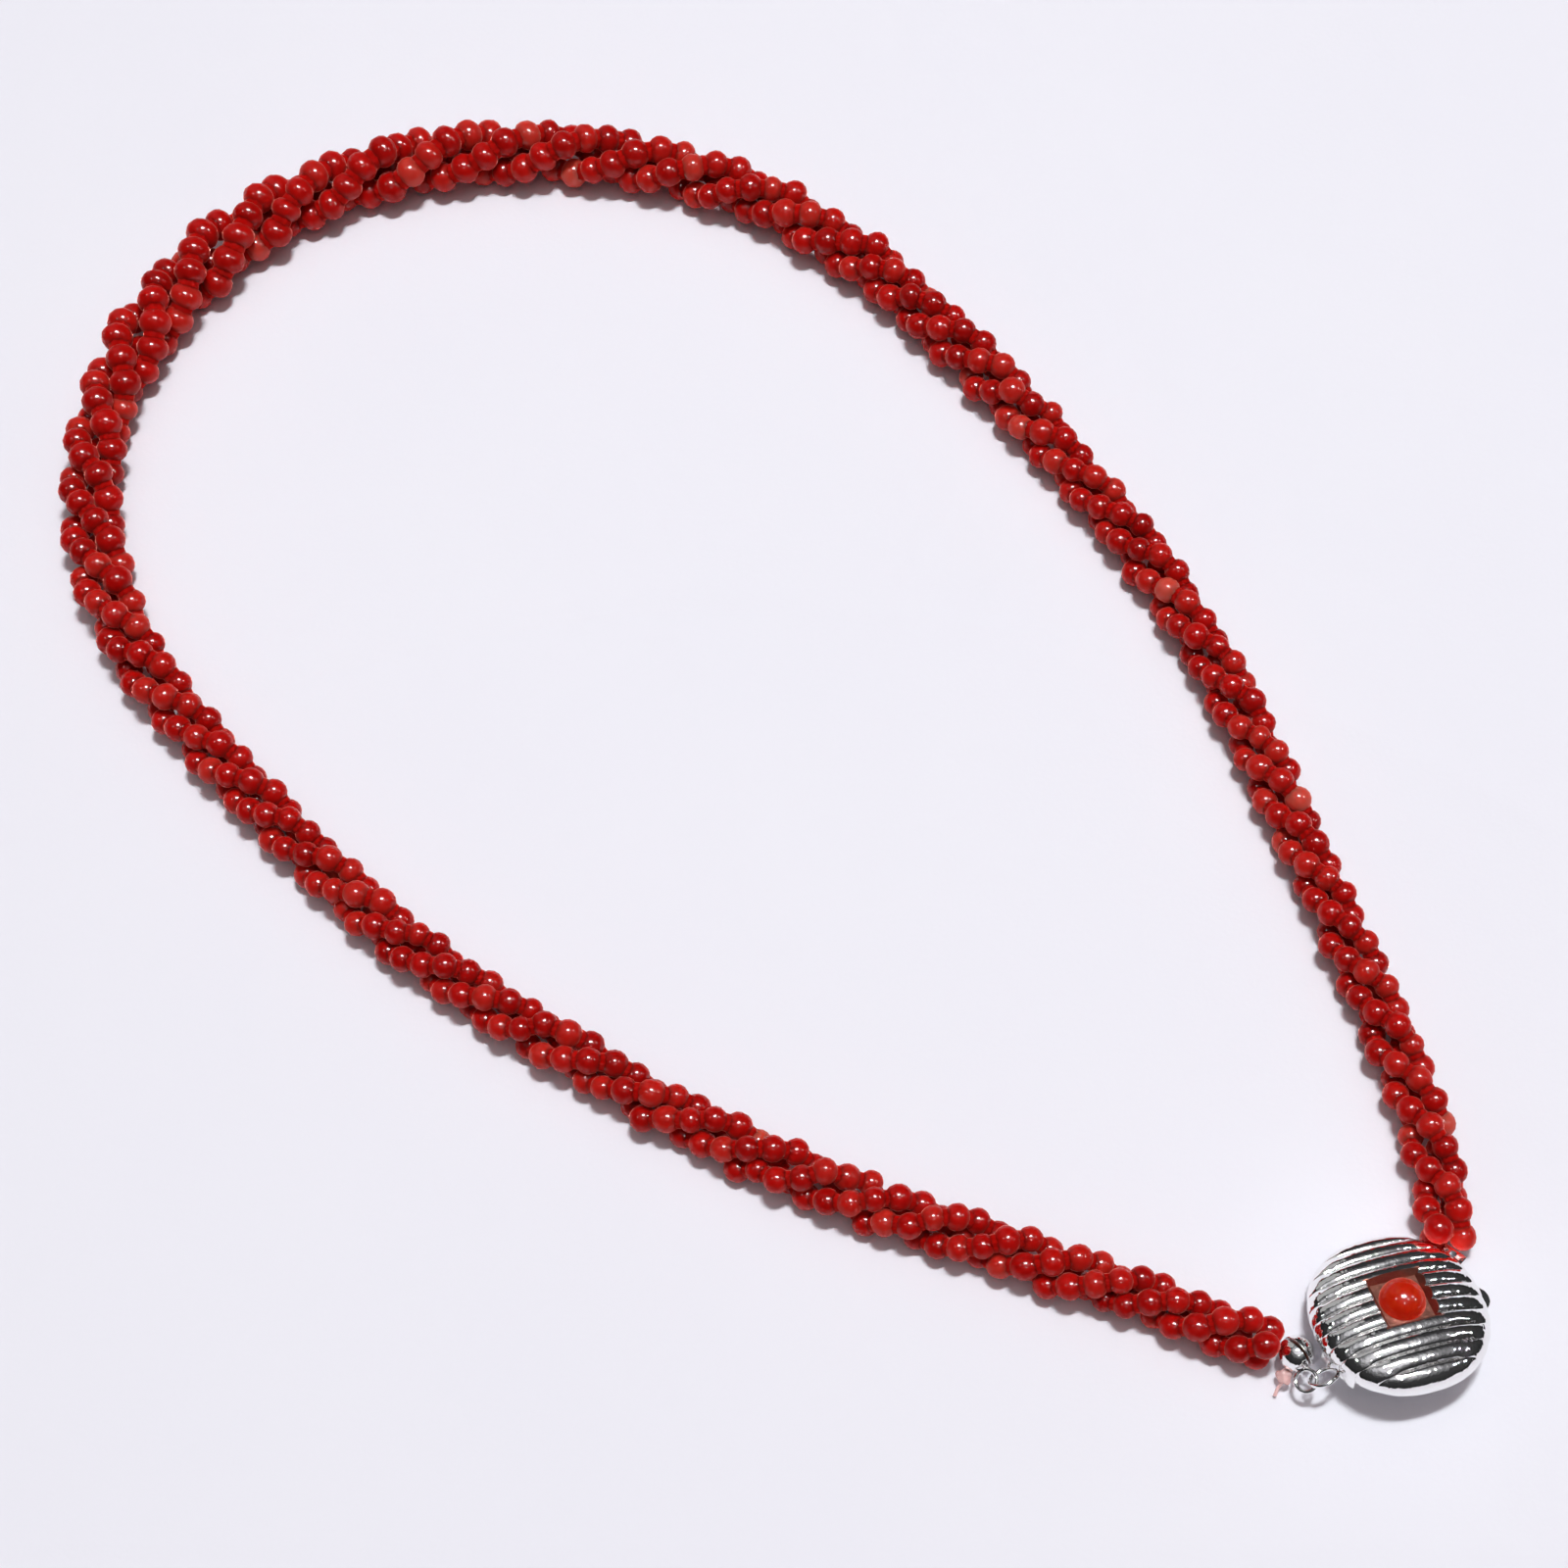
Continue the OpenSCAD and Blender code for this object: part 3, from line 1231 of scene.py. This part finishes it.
    def build(self, silver: Material) -> None:
        """Makes the clasp's body as one piece.

        Args:
            silver: Its material.
        """
        body = self._lens()
        self._rib_tree(silver).run(body, Pitch=self.pitch, Depth=self.groove)
        body.data.transform(rotation(self.rib_angle))
        outward(body)
        for part in (self._band(), self._lug(), self._catch()):
            combine(body, part, Way.ADD)
        for part in (self._window(), self._mouth(), self._slot()):
            combine(body, part, Way.CUT)
        self._mark_recess_shade(body)
        body.data.transform(self.place.matrix())
        outward(body)
        smooth(body, self.sharp)
        finish_piece(body, silver, "clasp_body")

    def _band(self) -> Object:
        """Makes the band round the rim."""
        radius = self.radius - self.band_inset
        return round_object("band", (radius, radius), self.band_height, Matrix.Identity(4), self.band_sides)

    def _window(self) -> Object:
        """Makes the square pit whose four walls slope down to the stone.

        Returns:
            The pit, to be cut out.
        """
        corners = tuple((self.window + slope) / math.sqrt(2) for slope in self.window_slope)
        up = Matrix.Translation((0, 0, self.window_floor + self.window_rise / 2))
        place = rotation(self.rib_angle + 45) @ up
        return round_object("window", corners, self.window_rise, place, sides=4)

    def _mark_recess_shade(self, body: Object) -> None:
        """Marks the faces of the window, which take painted brown-red shade and reflection and are duller
        than the ribs.

        Args:
            body: The clasp's body in its own millimetres.
        """
        back = rotation(-self.rib_angle).to_3x3()
        low, high = (self.window + slope for slope in self.window_slope)
        # These faces take the silver's brown-red, painted shade of the window and reflection of the stone.
        marks = body.data.attributes.new("seat", "FLOAT", "FACE")
        for face in body.data.polygons:
            middle = back @ face.center
            rise = middle.z - self.window_floor
            half = (low + (high - low) * rise / self.window_rise) / 2 + self.recess_shade_slack
            inside = rise > -self.recess_shade_slack and max(abs(middle.x), abs(middle.y)) < half
            marks.data[face.index].value = float(inside)

    def _catch(self) -> Object:
        """Makes the catch, a disc with rounded edges that shows beyond the rim.

        Returns:
            The catch, to be added.
        """
        radii = (self.catch_radius, self.catch_radius)
        out = Matrix.Translation((self.radius - self.catch_inset, 0, -self.catch_drop))
        place = rotation(self.catch_turn) @ out
        catch = round_object("catch", radii, self.band_height, place, self.catch_sides)
        soften(catch, self.catch_round, segments=4)
        return catch

    def _lug(self) -> Object:
        """Makes the lug with its thread hole.

        Returns:
            The lug, to be added.
        """
        half, thick, bore = self.lug_width / 2, self.lug_thick / 2, self.lug_hole / 2
        low = (self.radius - self.lug_root, -half, -thick)
        lug = box_object("lug", low, (self.radius + self.lug_length, half, thick), self.lug_turn)
        out = rotation(self.lug_turn) @ Matrix.Translation((self.radius + self.lug_length / 2, 0, 0))
        hole = round_object("hole", (bore, bore), 2 * self.lug_thick, out, self.hole_sides)
        combine(lug, hole, Way.CUT)
        return lug

    def _mouth(self) -> Object:
        """Makes the notch in which the tongue's plate stands.

        Returns:
            The notch, to be cut out.
        """
        half = self.mouth_width / 2 + self.gap
        low = (-self.radius - self.past, self.mouth_y - half, self.mouth_bottom - self.mouth_under)
        return box_object("mouth", low, (self.mouth_x, self.mouth_y + half, self.mouth_top + self.gap))

    def _slot(self) -> Object:
        """Makes the slot that takes the tongue's blade.

        Returns:
            The slot, to be cut out.
        """
        half, tall = self.blade_width / 2 + self.gap, self.blade_thick / 2 + self.gap
        end = self.mouth_x + self.blade_length + 2 * self.gap
        low = (self.mouth_x - self.past, -half, self.blade_z - tall)
        return box_object("slot", low, (end, half, self.blade_z + tall))


@dataclass
class ClaspTongue:
    """Spring tongue pushed into the clasp, with its end plate and wire loop."""

    clasp: RibbedClasp = field(default_factory=RibbedClasp)
    plate: float = 0.9
    overlap: float = 0.1
    wire: float = 0.42
    loop: float = 1.4
    loop_y: float = 0.5
    loop_z: float = -1.9
    loop_tilt: float = -40.0
    loop_steps: tuple[int, int] = (64, 16)
    edge: float = 0.12

    def build(self, silver: Material) -> None:
        """Makes the tongue as one piece.

        Args:
            silver: Its material.
        """
        clasp = self.clasp
        face = clasp.mouth_x - clasp.gap
        half, side, thick = clasp.mouth_width / 2, clasp.blade_width / 2, clasp.blade_thick / 2
        low = (face - self.plate, clasp.mouth_y - half, clasp.mouth_bottom)
        tongue = box_object("plate", low, (face, clasp.mouth_y + half, clasp.mouth_top))
        root = face - self.overlap
        end = (root + clasp.blade_length, side, clasp.blade_z + thick)
        blade = box_object("blade", (root, -side, clasp.blade_z - thick), end)
        for part in (tongue, blade):
            soften(part, self.edge, segments=3)
        out = face - self.plate - self.loop + self.wire / 4
        place = Matrix.Translation((out, self.loop_y, self.loop_z)) @ rotation(self.loop_tilt, "X")
        ring = wire_ring(self.loop, self.wire, self.loop_steps, place)
        for part in (blade, ring):
            combine(tongue, part, Way.ADD)
        tongue.name = tongue.data.name = "tongue"
        tongue.data.transform(clasp.place.matrix())
        outward(tongue)
        smooth(tongue, clasp.sharp)
        finish_piece(tongue, silver, "clasp_tongue")


@dataclass
class Cabochon:
    """Domed coral stone on the window's floor."""

    clasp: RibbedClasp = field(default_factory=RibbedClasp)
    diameter: float = 4.4
    height: float = 2.1
    clear: float = 0.02
    girdle_inset: float = 0.12
    girdle_rise: float = 0.03
    top_tilt: float = 0.02
    around: int = 64
    up: int = 20
    sharp: float = 60.0

    def build(self, coral: Material) -> None:
        """Makes the stone, with a small rounded girdle.

        Args:
            coral: Its material.
        """
        base = self.diameter / 2
        ball = (base * base + self.height * self.height) / (2 * self.height)
        deep = ball - self.height
        tilt = np.linspace(math.acos(deep / ball), self.top_tilt, self.up)
        reach = np.concatenate([[base - self.girdle_inset], ball * np.sin(tilt)])
        rise = np.concatenate([[0], np.maximum(self.girdle_rise, ball * np.cos(tilt) - deep)])
        rise += self.clasp.window_floor + self.clear
        stone = mesh_object("stone", *loft(turned_sections(reach, rise, self.around)))
        stone.data.transform(self.clasp.place.matrix())
        outward(stone)
        smooth(stone, self.sharp)
        finish_piece(stone, coral, "cabochon")


# The rope's end


class Cup(Enum):
    """The two halves of the folding bead tip."""

    LEFT = 1
    RIGHT = -1


@dataclass
class BeadTip:
    """Folding bead tip: two cups closed over the threads' knot, and a wire loop."""

    middle: Place = (54.3 + SHIFT[0], -69.0 + SHIFT[1], 2.75)
    loop_middle: Place = (54.9 + SHIFT[0], -71.7 + SHIFT[1], 3.15)
    diameter: float = 3.5
    slit: float = 0.36
    slit_lean: float = 4.0
    slit_turn: float = 27.0
    wall: float = 0.3
    lip_reach: float = 0.98
    lip_drop: float = 0.4
    lip_steps: int = 7
    pole: float = 0.02
    bowl_steps: int = 20
    around: int = 48
    recess_shade_slack: float = 0.05
    wire: float = 0.42
    loop: float = 1.05
    loop_tilt: float = 30.0
    loop_steps: tuple[int, int] = (56, 14)
    sharp: float = 45.0

    def _cup(self, side: Cup) -> Object:
        """Makes one cup: a bowl with a rounded lip, leaning as the slit does.

        Args:
            side: Which of the two it is.

        Returns:
            The cup about the tip's middle, with its inside marked for painted brown-red shade and duller
            gloss.
        """
        radius, inner, thick = self.diameter / 2, self.diameter / 2 - self.wall, self.wall / 2
        bowl = np.linspace(math.pi / 2 - self.pole, math.asin(self.slit / 2 / radius), self.bowl_steps)
        lip = np.linspace(0, math.pi, self.lip_steps)[1:-1]
        lip_reach = radius - thick + thick * np.cos(lip) * self.lip_reach
        lip_rise = self.slit / 2 - thick * np.sin(lip) * self.lip_drop
        reach = np.concatenate([radius * np.cos(bowl), lip_reach, inner * np.cos(bowl[::-1])])
        rise = np.concatenate([radius * np.sin(bowl), lip_rise, inner * np.sin(bowl[::-1])])
        upright = turned_sections(reach, rise * side.value, self.around)
        cup = mesh_object(f"cup_{side.name.lower()}", *loft(upright[..., [0, 2, 1]]))
        outward(cup)
        # The inside takes the silver's brown-red, painted shade of the cup's hollow.
        seat = cup.data.attributes.new("seat", "FLOAT", "FACE")
        inside = [float(face.center.length < inner + self.recess_shade_slack) for face in cup.data.polygons]
        seat.data.foreach_set("value", inside)
        cup.data.transform(rotation(self.slit_turn) @ rotation(-self.slit_lean, "X"))
        return cup

    def build(self, silver: Material) -> None:
        """Makes the bead tip as one piece.

        Args:
            silver: Its material.
        """
        arm = Vector(self.loop_middle) - Vector(self.middle)
        aim = Matrix.Rotation(math.atan2(arm.y, arm.x), 4, "Z")
        cups = [self._cup(side) for side in Cup]
        for cup in cups:
            cup.data.transform(Matrix.Translation(self.middle) @ aim)
        place = Matrix.Translation(self.loop_middle) @ aim @ rotation(self.loop_tilt, "X")
        tip = merge("tip", [*cups, wire_ring(self.loop, self.wire, self.loop_steps, place)])
        tip.data.transform(TO_METRES)
        smooth(tip, self.sharp)
        finish_piece(tip, silver, "bead_tip")


@dataclass
class ThreadEnds:
    """The knot and tail of the stringing thread at the bead tip."""

    middle: Place = (53.02, -71.14, 1.5)
    bends: tuple[Place, ...] = ((52.72, -71.74, 1.3), (52.32, -72.24, 0.9), (52.12, -72.74, 0.5))
    thick: float = 0.34
    steps: int = 24
    sides: int = 10
    knot_size: float = 0.75
    knot_squash: float = 0.85
    knot_waves: Pair = (0.12, 0.1)

    def _tail(self) -> Object:
        """Makes the round tail that hangs from the knot.

        Returns:
            The tail.
        """
        points = np.array([self.middle, *self.bends])
        steps = np.linspace(0, len(points) - 1, self.steps)
        path = np.stack([np.interp(steps, np.arange(len(points)), part) for part in points.T], axis=1)
        heading = np.gradient(path, axis=0)
        heading /= np.linalg.norm(heading, axis=1)[:, None]
        side = np.cross(heading, [0, 0, 1.0])
        side /= np.linalg.norm(side, axis=1)[:, None]
        lift = np.cross(side, heading)
        turn = circle(self.sides)[None, :, None]
        ring = np.cos(turn) * side[:, None] + np.sin(turn) * lift[:, None]
        tail = mesh_object("thread", *loft(path[:, None] + ring * self.thick / 2))
        outward(tail)
        return tail

    def _knot(self) -> Object:
        """Makes the lumpy, slightly flattened knot.

        Returns:
            The knot.
        """
        shape = bmesh.new()
        bmesh.ops.create_icosphere(shape, subdivisions=3, radius=self.knot_size)
        large, small = self.knot_waves
        for point in shape.verts:
            x, y, z = point.co
            wave = large * math.sin(7 * x + 5 * z) + small * math.sin(6 * y)
            point.co *= 1 + wave
            point.co.z *= self.knot_squash
        knot = bmesh_object("knot", shape)
        knot.data.transform(Matrix.Translation(self.middle))
        return knot

    def build(self, nylon: Material) -> None:
        """Makes the knot and its tail as one piece.

        Args:
            nylon: Their material.
        """
        ends = merge("thread_end", [self._knot(), self._tail()])
        ends.data.transform(TO_METRES)
        ends.data.shade_smooth()
        finish_piece(ends, nylon)


# The stage


@dataclass
class Stage:
    """Pale floor, one lamp of small strips above, dim surroundings, and the camera."""

    floor_half: float = 3000.0
    camera_place: Place = (5.809, -142.482, 275.141)
    camera_aim: Place = (5.809, -8.287, 0.0)
    lens: float = 67.5
    sensor: float = 36.0
    clip: Pair = (0.01, 20.0)
    lamp_middle: Place = (60.0, 60.0, 900.0)
    lamp_colour: Colour = (0.985, 1.0, 1.0)
    lamp_power: float = 6.1
    lamp_strips: int = 5
    lamp_pitch: float = 26.0
    strip_width: float = 13.0
    strip_length: float = 90.0
    row_tilts: tuple[float, ...] = (-4.2, -0.2, 3.8, 7.8, 11.8)
    rows_near: Pair = (1.5, 6.5)
    row_power: float = 2.2
    spark_tilts: tuple[Pair, ...] = ((-36, -6), (24, -8), (42, 6), (46, 2), (6, -28), (58, -8))
    spark_power: float = 0.95
    spark_size: float = 20.0
    wall_tilt: Pair = (-46.0, 54.0)
    wall_size: float = 800.0
    wall_power: float = 0.6
    room_light: tuple[Pair, ...] = ((0.0, 0.03), (0.5, 0.06), (0.8, 0.25), (0.93, 0.8), (1.0, 1.0))
    room_mirror: tuple[Pair, ...] = ((0.0, 0.02), (0.65, 0.04), (0.85, 0.2), (0.95, 0.7), (1.0, 0.75))
    light_tint: Colour = (1.0, 0.88, 0.87)
    mirror_tint: Colour = (1.0, 1.0, 1.05)
    room_sides: Pair = (0.8, 1.2)
    backdrop: Colour = (0.87, 0.88, 0.95)

    def build(self) -> None:
        """Makes the floor, the lights and the camera."""
        self._floor()
        self._lamp()
        self._sparks()
        self._surroundings()
        self._camera()
        bpy.context.scene.view_settings.view_transform = "Standard"

    def _floor(self) -> None:
        """Makes the floor."""
        half = self.floor_half * MM
        corners = [(-half, -half, 0), (half, -half, 0), (half, half, 0), (-half, half, 0)]
        floor = mesh_object("floor", np.array(corners), [(0, 1, 2, 3)])
        floor.data.shade_flat()
        floor.data.materials.append(PaleFloor().material())

    def _hang(self, name: str, power: float, place: Vector, aim: Vector) -> Object:
        """Hangs a lamp.

        Args:
            name: The lamp's name.
            power: Its power in watts.
            place: Where it hangs.
            aim: The way it shines.

        Returns:
            The lamp, whose light has no shape yet.
        """
        light = bpy.data.lights.new(name, "AREA")
        light.energy = power
        lamp = put(name, light)
        lamp.location = place * MM
        lamp.rotation_euler = aim.to_track_quat("-Z", "Y").to_euler()
        return lamp

    def _lamp(self) -> None:
        """Hangs the lamp's strips side by side, all turned as the middle one is."""
        middle = Vector(self.lamp_middle)
        power = self.lamp_power / self.lamp_strips
        for number in range(self.lamp_strips):
            offset = (number - (self.lamp_strips - 1) / 2) * self.lamp_pitch
            light = self._hang(f"strip_{number + 1}", power, middle + Vector((offset, 0, 0)), -middle).data
            light.shape = "RECTANGLE"
            light.size = self.strip_width * MM
            light.size_y = self.strip_length * MM
            light.color = self.lamp_colour

    def _spark(self, name: str, power: float, size: float, tilt: Pair) -> None:
        """Hangs a round lamp that only polished things show.

        Args:
            name: The lamp's name.
            power: Its power in watts.
            size: Its diameter.
            tilt: Tilts to the right and to the far side, in degrees.
        """
        right, far = (math.tan(math.radians(part)) for part in tilt)
        away = Vector((right, far, 1)).normalized()
        lamp = self._hang(name, power, away * self.lamp_middle[2], -away)
        lamp.data.shape = "DISK"
        lamp.data.size = size * MM
        lamp.visible_diffuse = False

    def _sparks(self) -> None:
        """Hangs rows of small lamps, a few round them, and a dim pale wall up at the left."""
        rows = [((side, near), self.row_power) for near in self.rows_near for side in self.row_tilts]
        others = [(tilt, self.spark_power) for tilt in self.spark_tilts]
        for number, (tilt, power) in enumerate(rows + others, start=1):
            self._spark(f"spark_{number}", power, self.spark_size, tilt)
        self._spark("wall", self.wall_power, self.wall_size, self.wall_tilt)

    def _surroundings(self) -> None:
        """Lights the room softly from above, and keeps what polished things mirror dark and plain."""
        world = bpy.data.worlds.new("room")
        world.use_nodes = True
        bpy.context.scene.world = world
        nodes = Nodes(world.node_tree)
        where = nodes.split(nodes.add("ShaderNodeTexCoord").outputs["Generated"])
        path = nodes.add("ShaderNodeLightPath").outputs
        skies = []
        for stops, tint in ((self.room_light, self.light_tint), (self.room_mirror, self.mirror_tint)):
            colours = [(height, [value * part for part in tint]) for height, value in stops]
            skies.append(nodes.ramp(where["Z"], colours))
        colour = nodes.mix(path["Is Glossy Ray"], *skies)
        strength = nodes.spread(where["X"], self.room_sides, (-1.0, 1.0))
        room = nodes.add("ShaderNodeBackground", Color=colour, Strength=strength).outputs[0]
        seen = nodes.add("ShaderNodeBackground", Color=self.backdrop).outputs[0]
        both = nodes.add("ShaderNodeMixShader", {}, path["Is Camera Ray"], room, seen)
        nodes.add("ShaderNodeOutputWorld", Surface=both.outputs[0])

    def _camera(self) -> None:
        """Sets the camera at the photograph's angle."""
        data = bpy.data.cameras.new("camera")
        data.lens = self.lens
        data.sensor_width = self.sensor
        data.clip_start, data.clip_end = self.clip
        camera = put("camera", data)
        camera.location = Vector(self.camera_place) * MM
        aim = Vector(self.camera_aim) - Vector(self.camera_place)
        camera.rotation_euler = aim.to_track_quat("-Z", "Y").to_euler()
        bpy.context.scene.camera = camera


def main() -> None:
    """Builds the necklace and its stage."""
    logging.basicConfig(level=logging.INFO, format="%(name)s %(message)s")
    Stage().build()
    silver = Silver().material()
    BeadRope().build(Coral().material())
    clasp = RibbedClasp()
    clasp.build(silver)
    ClaspTongue(clasp).build(silver)
    Cabochon(clasp).build(StoneCoral().material())
    BeadTip().build(silver)
    ThreadEnds().build(Nylon().material())


if __name__ == "__main__":
    main()
